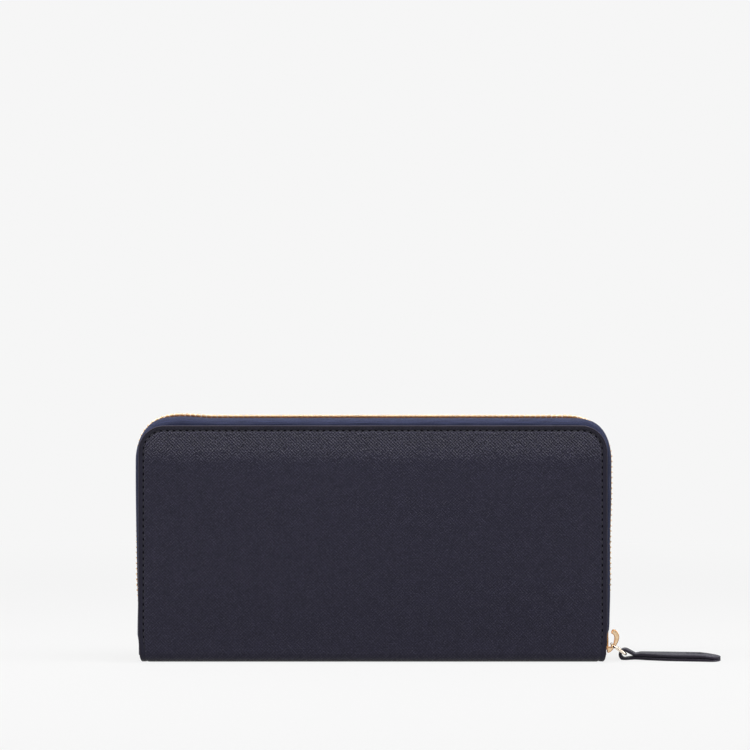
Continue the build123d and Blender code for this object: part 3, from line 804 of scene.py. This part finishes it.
def tooth():
    """Front-row tooth: along the chain, across (Y), outward. Outermost face at 0."""
    outer = bar([(-3.0, 0.72, 0.80), (-2.85, 0.95, 0.95), (-2.4, 1, 1), (-1.2, 1, 1), (-0.75, 0.72, 0.98),
                 (0.35, 0.70, 0.95), (0.62, 0.62, 0.86), (0.7, 0.5, 0.7)], 0.62, -1.4, 0.0, True)
    inner = bar([(-3.0, 0.72, 0.80), (-2.8, 0.95, 0.95), (-1.2, 1, 1), (-0.75, 0.72, 1),
                 (0.5, 0.68, 0.95), (0.7, 0.5, 0.7)], 0.62, -1.9, -2.6, False)
    head = bar([(-1.02, 0.7, 1), (0.35, 0.7, 1), (0.6, 0.6, 1)], 0.58, -1.7, -0.9, False)
    return join_parts([outer, inner, head])


def gap_shade_mask(tooth_points):
    """For each point, 1 deep between the teeth and 0 on a tooth's crown: where the teeth get painted shade.
    """
    return [clamp((-r - 0.25) / 0.8) for _, _, r in tooth_points]


def teeth_row(side, name, body, nodes):
    one_verts, one_faces = tooth()
    places = even_places(CHAIN_SIDE, CHAIN_TOP, CHAIN_CORNER_Z, CHAIN_LOW, TOOTH_PITCH / 2)
    places = places[0 if side == FRONT else 1::2]
    parts = []
    for x, z, nx, nz in places:
        x, z = soft_shape(x, z, nx, nz, tuck(z))
        tx, tz = nz, -nx
        parts.append(([(x + tx * t + nx * r, y, z + tz * t + nz * r) for t, y, r in one_verts], one_faces))
    verts, faces = join_parts(parts)
    build(name, on_side(side, verts), faces, [TEETH], body, nodes, low=gap_shade_mask(one_verts) * len(places),
          angle=50)


# ---- slider, crown, link ----
PLATE = 0.7  # thickness of the slider's plates


def slider():
    """Two shield-shaped plates, joined by a neck, with a rail along each side. Outlines are (Y, Z)."""
    face, back = PLATE_FACE, slider_low.x
    low, high = slider_low.z + 0.8, slider_high.z
    right = [(0, low - 0.05), (2.6, low), (4.3, low + 2.0), (4.5, low + 3.6), (4.0, high - 3.0),
             (3.9, high - 0.5), (2.2, high), (0, high - 0.3)]
    left = [(-a, b) for a, b in reversed(right[1:-1])]
    shield = smooth_closed(left[-1:] + right + left[:-1])
    brass("slider_outer_plate", shield, lambda a, b, c: (face - PLATE + c, a, b), PLATE, 0.22, "zip_slider",
          ("zip_slider_body",), rim_material=GOLD_SHADED_RIM)
    brass("slider_inner_plate", shield, lambda a, b, c: (back + c, a, b), PLATE, 0.22, "zip_slider")
    neck = [(-0.9, low + 1.2), (0, low + 0.4), (0.9, low + 1.2), (0.7, 6.4), (0, 7.0), (-0.7, 6.4)]
    brass("slider_neck", neck, lambda a, b, c: (back + PLATE - 0.1 + c, a, b),
          face - back - 2 * PLATE + 0.2, 0.15, "zip_slider")
    for sign, end in ((FRONT, "front"), (BACK, "back")):
        rail = [(sign * 3.25, 8.0), (sign * 3.95, 8.0), (sign * 3.85, 12.9), (sign * 3.25, 12.9)]
        brass("slider_rail_" + end, rail, lambda a, b, c: (face - PLATE - 0.85 + c, a, b), 0.9, 0.15,
              "zip_slider")


def crown():
    """Crescent hook: foot at the low end, thick back, free tip at the top. The outline is (X, Z)."""
    foot = PLATE_FACE - 0.1
    points = [(foot, 2.8), (97.9, 3.2), (99.0, 4.5), (100.0, 5.8), (100.85, 7.2), (101.3, 8.8),
              (101.25, 9.95), (100.7, 11.2), (99.6, 12.2), (98.5, 12.0), (98.15, 10.7), (99.0, 10.1),
              (99.4, 9.0), (99.25, 7.5), (98.98, 6.2), (98.5, 5.35), (97.7, 5.1), (foot, 5.3)]
    half = 1.15
    brass("slider_crown_hook", smooth_closed(points), standing(-half), 2 * half, 0.36,
          "zip_slider", ("zip_slider_crown",), segments=3, rim_material=GOLD_SHADED_RIM)


def ring_tube(route, radius, sides=14):
    """Round wire along a closed route; returns (verts, faces)."""
    points = [np.array(p, float) for p in route]
    n = len(points)
    verts = []
    up = np.array((math.sin(LINK_DROP), 0, math.cos(LINK_DROP)))
    for i, p in enumerate(points):
        ahead, behind = points[(i + 1) % n], points[i - 1]
        along = (ahead - behind) / np.linalg.norm(ahead - behind)
        out = np.cross(along, up)
        for k in range(sides):
            a = 2 * math.pi * k / sides
            verts.append(tuple(p + radius * (math.cos(a) * out + math.sin(a) * up)))
    faces = grid_faces(n, sides, close_columns=True)
    base = (n - 1) * sides
    faces += [(base + k, base + (k + 1) % sides, (k + 1) % sides, k) for k in range(sides)]
    return verts, faces


def link():
    """Oval ring of round wire, sloping down from the crown to the pull's loop."""
    half = LINK_WIDE - LINK_WIRE
    radius = 1.9
    route = []
    for cu, cv, begin in ((LINK_REACH - radius, half - radius, 0), (radius, half - radius, 90),
                          (radius, -half + radius, 180), (LINK_REACH - radius, -half + radius, 270)):
        for k in range(9):
            a = math.radians(begin + 90 * k / 8)
            u, v = cu + radius * math.cos(a), cv + radius * math.sin(a)
            x, z = LINK_PIVOT[0] + u * math.cos(LINK_DROP), LINK_PIVOT[1] - u * math.sin(LINK_DROP)
            route.append((x, v, z))
    verts, faces = ring_tube(route, LINK_WIRE)
    build("pull_ring_link", verts, faces, [PALE_GOLD], "pull_link", ("pull_link",))


# ---- leather pull ----
PULL_TURN = math.radians(-8.0)  # the pull lies turned a little to the front
LAYER = tab_high.z - tab_low.z
HUB_X = (loop_low.x + loop_high.x) / 2  # middle of the loop round the link
HUB_Z = (loop_low.z + loop_high.z) / 2 - 0.4
LOOP_LAYER = 1.12 * LAYER
LOOP_R = (loop_high.z - loop_low.z) / 2 - LOOP_LAYER / 2 + 0.15
LOOP_OPEN = 66  # degrees each side of the pull's own direction, where the loop is open
LOOP_HALF = 3.2  # half width at the loop
WIDENED = 1.8  # the soft pull is wider than the CAD strip by this on each side,
WIDEN_X = (108.0, 124.0)  # growing between these
LIFT = 0.25  # how far its underside is up at the loop,
LIFT_END_X = 128.0  # going down to here
LAYER_OVERLAP = 0.12  # the layers are pressed this far into each other
TIP_ROUND = 4.2
TIP_X = tab_high.x
PULL_STITCH_X = (129.5, 131.9, 134.3)
PULL_STITCH_Y = (-1.1, 1.1)


def pull_place(x, y, z):
    """The point, turned with the pull about the loop."""
    c, s = math.cos(PULL_TURN), math.sin(PULL_TURN)
    dx = x - HUB_X
    return HUB_X + dx * c - y * s, dx * s + y * c, z


def pull_ground(x):
    """Underside of the pull: a little raised at the loop, on the ground towards the tip."""
    return LIFT * clamp((LIFT_END_X - x) / (LIFT_END_X - HUB_X)) ** 2


def pull_layer(x):
    """Thickness of one layer: full beyond the loop, thinner towards the tip."""
    full = LAYER * (1 + 0.32 * step(x, HUB_X + 2.5, HUB_X + 6.5))
    return full * (1 - 0.3 * step(x, TIP_X - 9.0, TIP_X))


def pull_route():
    """(X, Z) along the strip: from the tip under the pull, round the link and back on top."""
    xs = [TIP_X - back for back in (0.02, 0.25, 0.8, 1.7, 2.7, 3.8)]
    xs += list(np.linspace(TIP_X - 6, HUB_X + 4.2, 14))
    route = [(x, pull_ground(x) + pull_layer(x) / 2) for x in xs]
    for k in range(17):
        a = math.radians(-LOOP_OPEN - (360 - 2 * LOOP_OPEN) * k / 16)
        route.append((HUB_X + LOOP_R * math.cos(a), HUB_Z + LOOP_R * math.sin(a)))
    route += [(x, pull_ground(x) + 1.5 * pull_layer(x) - LAYER_OVERLAP) for x in reversed(xs)]
    return [np.array(p, float) for p in route]


def pull_half_width(x):
    half = LOOP_HALF + (tab_high.y - LOOP_HALF) * step(x, HUB_X + 3.5, HUB_X + 9.0)
    half += WIDENED * step(x, *WIDEN_X)
    rounded = max(0.0, (x - TIP_X) / TIP_ROUND + 1)
    return half * math.sqrt(max(0.02, 1 - rounded ** 2))


def pull_tab():
    """One strip of leather folded round the link; its two layers lie on each other."""
    section = []
    for k in range(20):
        a = 2 * math.pi * k / 20
        c, s = math.cos(a), math.sin(a)
        section.append((math.copysign(abs(c) ** 0.35, c), math.copysign(abs(s) ** 0.42, s)))
    verts, uvs, press, run = [], [], [], 0.0
    points = pull_route()
    for i, p in enumerate(points):
        ahead, behind = points[min(i + 1, len(points) - 1)], points[max(i - 1, 0)]
        along = (ahead - behind) / np.linalg.norm(ahead - behind)
        normal = np.array((-along[1], along[0]))
        if i:
            run += float(np.linalg.norm(p - points[i - 1]))
        x = p[0]
        half = pull_half_width(x)
        thick = pull_layer(x) + (LOOP_LAYER - LAYER) * step(x, HUB_X + 6.0, HUB_X + 1.0)
        thick *= 1 - 0.25 * clamp(1 - (TIP_X - x) / 2.0) ** 2
        for w, h in section:
            q = p + normal * h * thick / 2 * 0.985
            verts.append(pull_place(q[0], w * half, max(0.0, q[1])))
            uvs.append((run, w * half))
            press.append(0.55 + 0.45 * (abs(w) > 0.8))
    n = len(section)
    faces = grid_faces(len(points), n, close_columns=True)
    faces += end_caps(len(verts), n)
    sides = [int(abs(section[k][0]) > 0.9 and abs(section[(k + 1) % n][0]) > 0.9) for k in range(n)]
    build("pull_tab_leather", verts, faces, [LEATHER, EDGE], "pull_tab",
          ("pull_tab_lower_layer", "pull_tab_upper_layer", "pull_tab_loop"), uvs=uvs, press=press,
          face_mats=sides * (len(points) - 1) + [1, 1], angle=60)


def pull_stitches():
    """Two short rows near the tip: each stitch is followed by its needle hole."""
    parts, mats = [], []
    for x in PULL_STITCH_X:
        top = 2 * pull_layer(x) - LAYER_OVERLAP
        for y in PULL_STITCH_Y:
            for dx, half_long, lift, mat in ((0, 0.9, 0.16, 0), (1.2, 0.45, 0.03, 1)):
                wx, wy, _ = pull_place(x + dx, y, top)
                v, f = oval(wx, wy, 0.0, 0.0, 1.0, half_long, 0.24, lift)
                parts.append(([(a, c, top + b) for a, b, c in v], f))
                mats += [mat] * len(f)
    build("pull_tab_thread", *join_parts(parts), [THREAD, HOLE_SHADE], "pull_tab", ("pull_tab_stitches",),
          face_mats=mats)


# ---- stops ----
def box_piece(name, low, high, bevel, material, body, replaces=()):
    outline = [(low[0], low[2]), (high[0], low[2]), (high[0], high[2]), (low[0], high[2])]
    prism(name, outline, standing(low[1]), high[1] - low[1], bevel, material, body, replaces)


def box_from_node(name, node, bevel, material, body):
    box_piece(name, *mm_box(node), bevel, material, body, (node,))


# ---- interior ----
def flat_piece(name, node, bevel, material, body, radius):
    """Sheet-like piece in the X-Z plane with softly rounded edges."""
    low, high = mm_box(node)
    outline = rounded_arch(high.x, high.z, low.z, radius)
    prism(name, outline, standing(low.y), high.y - low.y, bevel, material, body, (node,))


PANEL_PITCH = 2.5


def panel_stitches(high, drop, columns, heights, y, sign):
    """Small stitches on an X-Z face: a row below the top edge, and one column at each X."""
    along = np.arange(-high.x + 3, high.x - 2.9, PANEL_PITCH)
    spots = [(x, high.z - drop, 0.0, 1.0) for x in along]
    spots += [(x, z, 1.0, 0.0) for x in columns for z in np.arange(*heights, PANEL_PITCH)]
    return [oval(x, z, y, nx, nz, 0.85, 0.22, sign * 0.14, sides=8, rings=2) for x, z, nx, nz in spots]


def card_pockets(half, side):
    body = half + "_half"
    flat_piece(half + "_lining_cloth", half + "_lining", 0.12, LINING, body, 9.0)
    flat_piece(half + "_card_backing", half + "_card_panel", 0.12, SMOOTH, body, 5.0)
    stitches = []
    for row in range(1, 5):
        node = half + "_card_pocket_" + str(row)
        flat_piece(half + "_card_slot_" + str(row), node, 0.13, SMOOTH, body, 2.0)
        low, high = mm_box(node)
        face = high.y if side == FRONT else low.y
        bottom = high.z - 11.0 if row < 4 else low.z + 2
        columns = (-high.x + 1.6, 0.0, high.x - 1.6)
        stitches += panel_stitches(high, 1.6, columns, (bottom, high.z - 3.5), face, -side)
    build(half + "_card_stitches", *join_parts(stitches), [THREAD], body)


GUSSET_LOW = 1.7  # the gussets reach down to the spine's lining
GUSSET_HALF = 0.25  # half their thickness
GUSSET_PUFF = 0.35
MOUTH_DROP = 3.0  # the middle of their upper edge is this much lower


def gusset(sign, name, node):
    """Soft V of leather between the two linings."""
    low, high = mm_box(node)
    out_x, in_x = (high.x - 0.25, low.x + 0.35) if sign > 0 else (low.x + 0.25, high.x - 0.35)
    ys = np.linspace(low.y, high.y, 25)
    zs = np.concatenate([[GUSSET_LOW, (GUSSET_LOW + low.z) / 2], np.linspace(low.z, high.z, 16)])
    verts = []
    for layer in (GUSSET_HALF, -GUSSET_HALF):
        for z in zs:
            height = (z - GUSSET_LOW) / (high.z - GUSSET_LOW)
            for y in ys:
                t = 1 - abs(y) / high.y
                fold = step(t)
                puff = GUSSET_PUFF * math.sin(math.pi * height * 3) * fold * (1 - fold) * 4
                x = out_x + (in_x - out_x) * (0.35 * fold + 0.65 * t)
                verts.append((x + sign * (layer + puff), y, z - MOUTH_DROP * fold * height))
    rows, cols = len(zs), len(ys)
    off = rows * cols
    faces = grid_faces(rows, cols) + [face[::-1] for face in grid_faces(rows, cols, start=off)]
    rim = [(0, c) for c in range(cols)] + [(r, cols - 1) for r in range(1, rows)]
    rim += [(rows - 1, c) for c in range(cols - 2, -1, -1)] + [(r, 0) for r in range(rows - 2, 0, -1)]
    ids = [r * cols + c for r, c in rim]
    for a, b in zip(ids, ids[1:] + ids[:1]):
        faces.append((a, b, b + off, a + off))
    obj = build(name, verts, faces, [SMOOTH], replaces=(node,), angle=60)
    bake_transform(obj)


def coin_pocket():
    body = "coin_pocket"
    for half, sign in (("front", -1), ("back", 1)):
        wall = "coin_pocket_" + half + "_wall"
        flat_piece("coin_wall_" + half, wall, 0.15, LINING, body, 2.0)
        box_from_node("coin_zip_tape_" + half, "coin_tape_" + half, 0.12, TAPE, body)
        low, high = mm_box(wall)
        face = low.y if sign < 0 else high.y
        columns = (-high.x + 2, high.x - 2)
        stitches = panel_stitches(high, 2.0, columns, (low.z + 3, high.z - 4), face, sign)
        build("coin_wall_stitches_" + half, *join_parts(stitches), [THREAD], body)
        coin_teeth(half, sign)
    for name, node in (("base", "bottom"), ("end_left", "left_side"), ("end_right", "right_side")):
        box_from_node("coin_pocket_" + name, "coin_pocket_" + node, 0.15, LINING, body)


COIN_PITCH = 2.0
COIN_TOOTH = 0.85  # length of one tooth along the coin zip
COIN_REACH = 1.7  # how far its teeth reach out from the middle
TOOTH_SIZE = (3.7, 2.6)  # across and outward extent of tooth()
TOOTH_BACK = 3.0  # tooth() starts this far from the middle


def coin_teeth(half, sign):
    """The same tooth, scaled to the coin zip."""
    node = "coin_teeth_" + half
    low, high = mm_box(node)
    one_verts, one_faces = tooth()
    scale_y, scale_r = (high.y - low.y) / TOOTH_SIZE[0], (high.z - low.z) / TOOTH_SIZE[1]
    parts = []
    count = int(round((high.x - low.x - COIN_TOOTH) / COIN_PITCH)) + 1
    for i in range(count):
        x = low.x + COIN_TOOTH / 2 + i * COIN_PITCH
        verts = [(x + t * 0.8, -sign * ((y + TOOTH_BACK) * scale_y - COIN_REACH), high.z + r * scale_r)
                 for t, y, r in one_verts]
        parts.append((verts, one_faces))
    build("coin_zip_teeth_" + half, *join_parts(parts), [TEETH], "coin_pocket", (node,),
          low=gap_shade_mask(one_verts) * count, angle=50)


def coin_slider():
    """Slider of the coin zip: two plates and a neck. Outlines are (X, Y)."""
    low, high = mm_box("coin_slider_body")
    x0, x1 = low.x, high.x
    for name, z, thick, half, nodes in (("top", high.z - 0.6, 0.6, 2.3, ("coin_slider_body",)),
                                        ("under", low.z, 0.5, 1.7, ())):
        edge = [(x0, 0), (x0 + 0.5, -half * 0.8), ((x0 + x1) / 2, -half * 0.92), (x1 - 1.6, -half),
                (x1 - 0.2, -half * 0.5), (x1, 0)]
        shield = smooth_closed(edge + [(x, -y) for x, y in reversed(edge[1:-1])])
        brass("coin_slider_" + name + "_plate", shield, lambda a, b, c, z=z: (a, b, z + c), thick, 0.14,
              "coin_slider", nodes)
    neck = [(x1 - 1.6, -0.3), (x1 - 0.3, -0.4), (x1 - 0.3, 0.4), (x1 - 1.6, 0.3)]
    brass("coin_slider_neck", neck, lambda a, b, c: (a, b, low.z + 0.4 + c), high.z - low.z - 0.8, 0.08,
          "coin_slider")


def coin_slider_hoop():
    """Bridge that holds the coin zip's puller. The outline is (X from its middle, Z from its foot)."""
    low, high = mm_box("coin_slider_bridge")
    mid, reach, rise = (low.x + high.x) / 2, (high.x - low.x) / 2, high.z - low.z
    right = [(reach * 0.35, rise), (reach * 0.7, rise - 0.1), (reach, rise * 0.55), (reach, 0),
             (reach - 0.6, 0), (reach - 0.6, rise * 0.5), (reach * 0.5, rise - 0.65)]
    outline = right + [(-x, z) for x, z in reversed(right)]
    brass("coin_slider_hoop", outline, lambda a, b, c: (mid + a, low.y + c, low.z + b), high.y - low.y, 0.12,
          "coin_slider", ("coin_slider_bridge",))


def finish_nodes():
    """Finishes of the CAD nodes whose own shape is right."""
    looks = {
        "front_stiffener": BOARD, "back_stiffener": BOARD, "spine_stiffener": BOARD,
        "spine_lining": LINING, "coin_puller": GOLD,
    }
    for node, material in looks.items():
        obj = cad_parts[node]
        for holder in obj.material_slots:
            holder.material = material


def interior():
    card_pockets("front", FRONT)
    card_pockets("back", BACK)
    gusset(1, "gusset_leather_right", "right_gusset")
    gusset(-1, "gusset_leather_left", "left_gusset")
    coin_pocket()
    coin_slider()
    coin_slider_hoop()
    low, high = mm_box("coin_zip_stops")
    box_piece("coin_stop_right", (high.x - 1.4, low.y, low.z), high, 0.15, TEETH, "coin_pocket",
              ("coin_zip_stops",))
    box_piece("coin_stop_left", low, (low.x + 1.4, high.y, high.z), 0.15, TEETH, "coin_pocket")


# ---- studio ----
CAMERA_PLACE = (0.0009, -0.963, 0.11694)
LENS = 112.32
BACKDROP = 0.921  # brightness of the floor and the wall behind it
SHADE_SHARE = 0.07  # share of the floor that takes light and shadow
SHADE_REACH = (0.16, 0.7)  # metres from the wallet's middle where that share fades out
SHADE_LIGHT = 1.60  # light falling on the floor round the wallet


def backdrop_material():
    s = Shader("backdrop_white")
    s.show(s.add("ShaderNodeEmission", {"Strength": BACKDROP}))
    return s.material


def floor_material():
    """White floor with its own even light; only near the wallet does it take soft shadows."""
    s = Shader("floor_white")
    place = s.add("ShaderNodeTexCoord").outputs["Object"]
    away = s.add("ShaderNodeVectorMath", {0: place}, operation="LENGTH").outputs["Value"]
    share = s.rise(away, *SHADE_REACH, SHADE_SHARE, 0.0)
    glow = s.add("ShaderNodeEmission", {"Strength": s.minus(BACKDROP, s.times(share, SHADE_LIGHT))})
    grey = s.add("ShaderNodeCombineXYZ", {0: share, 1: share, 2: share}).outputs[0]
    diffuse = s.add("ShaderNodeBsdfDiffuse", {"Color": grey})
    s.show(s.add("ShaderNodeAddShader", {0: glow.outputs[0], 1: diffuse.outputs[0]}))
    return s.material


def plane(name, corners, material):
    mesh = bpy.data.meshes.new(name)
    mesh.from_pydata(corners, [], [(0, 1, 2, 3)])
    mesh.materials.append(material)
    obj = add_object(name, mesh)
    return obj


def area_light(name, place, target, size, power, size_y=None):
    light = bpy.data.lights.new(name, "AREA")
    light.shape = "RECTANGLE"
    light.size = size
    light.size_y = size_y or size
    light.energy = power
    obj = add_object(name, light)
    obj.location = place
    obj.rotation_euler = (Vector(target) - Vector(place)).to_track_quat("-Z", "Y").to_euler()


def studio():
    floor = plane("floor", [(-8, -8, 0), (8, -8, 0), (8, 8, 0), (-8, 8, 0)],
                  floor_material())
    floor.visible_diffuse = False
    wall = plane("backdrop", [(-14, 7.9, -1), (14, 7.9, -1), (14, 7.9, 9), (-14, 7.9, 9)],
                 backdrop_material())
    wall.visible_diffuse = False
    wall.visible_glossy = False
    middle = (0, 0, 0.05)
    area_light("top_softbox", (0.0, -0.07, 0.5), (0.0, -0.01, 0.05), 0.7, 3.6, 0.16)
    area_light("front_softbox", (0.0, -1.6, 0.9), middle, 1.4, 5.4)
    area_light("left_strip", (-0.9, -0.16, 0.4), middle, 0.3, 5.5, 0.9)
    area_light("right_strip", (0.9, -0.16, 0.4), middle, 0.3, 5.5, 0.9)
    area_light("rear_softbox", (0, 1.2, 0.8), middle, 1.2, 5.0)
    world = bpy.data.worlds.new("studio_world")
    bpy.context.scene.world = world
    world.use_nodes = True
    sky = world.node_tree.nodes["Background"]
    sky.inputs["Color"].default_value = (1, 1, 1, 1)
    sky.inputs["Strength"].default_value = 0.35


def camera():
    """Level camera in front of the wallet, a little above its top edge."""
    data = bpy.data.cameras.new("camera")
    data.sensor_width = 36.0
    data.lens = LENS
    data.clip_end = 50
    obj = add_object("camera", data)
    obj.location = CAMERA_PLACE
    obj.rotation_euler = (math.radians(90), 0, 0)
    bpy.context.scene.camera = obj
    bpy.context.scene.view_settings.view_transform = "Standard"


# ---- the wallet ----
camera()
covers()
for half, side in (("front", FRONT), ("back", BACK)):
    body = half + "_half"
    seam(side, "seam_stitches_" + half, body, half + "_seam_thread")
    tape(side, "zip_tape_woven_" + half, body, (half + "_zip_tape", half + "_zip_tape_right"))
    teeth_row(side, "zip_teeth_row_" + half, body,
              (half + "_zip_teeth", half + "_zip_teeth_end", half + "_zip_teeth_right"))
    box_from_node("zip_top_stop_" + half, half + "_zip_top_stop", 0.25, TEETH, body)
box_from_node("zip_start_stop", "zip_end_stop", 0.3, TEETH, "back_half")
slider()
crown()
link()
pull_tab()
pull_stitches()
interior()
finish_nodes()
studio()
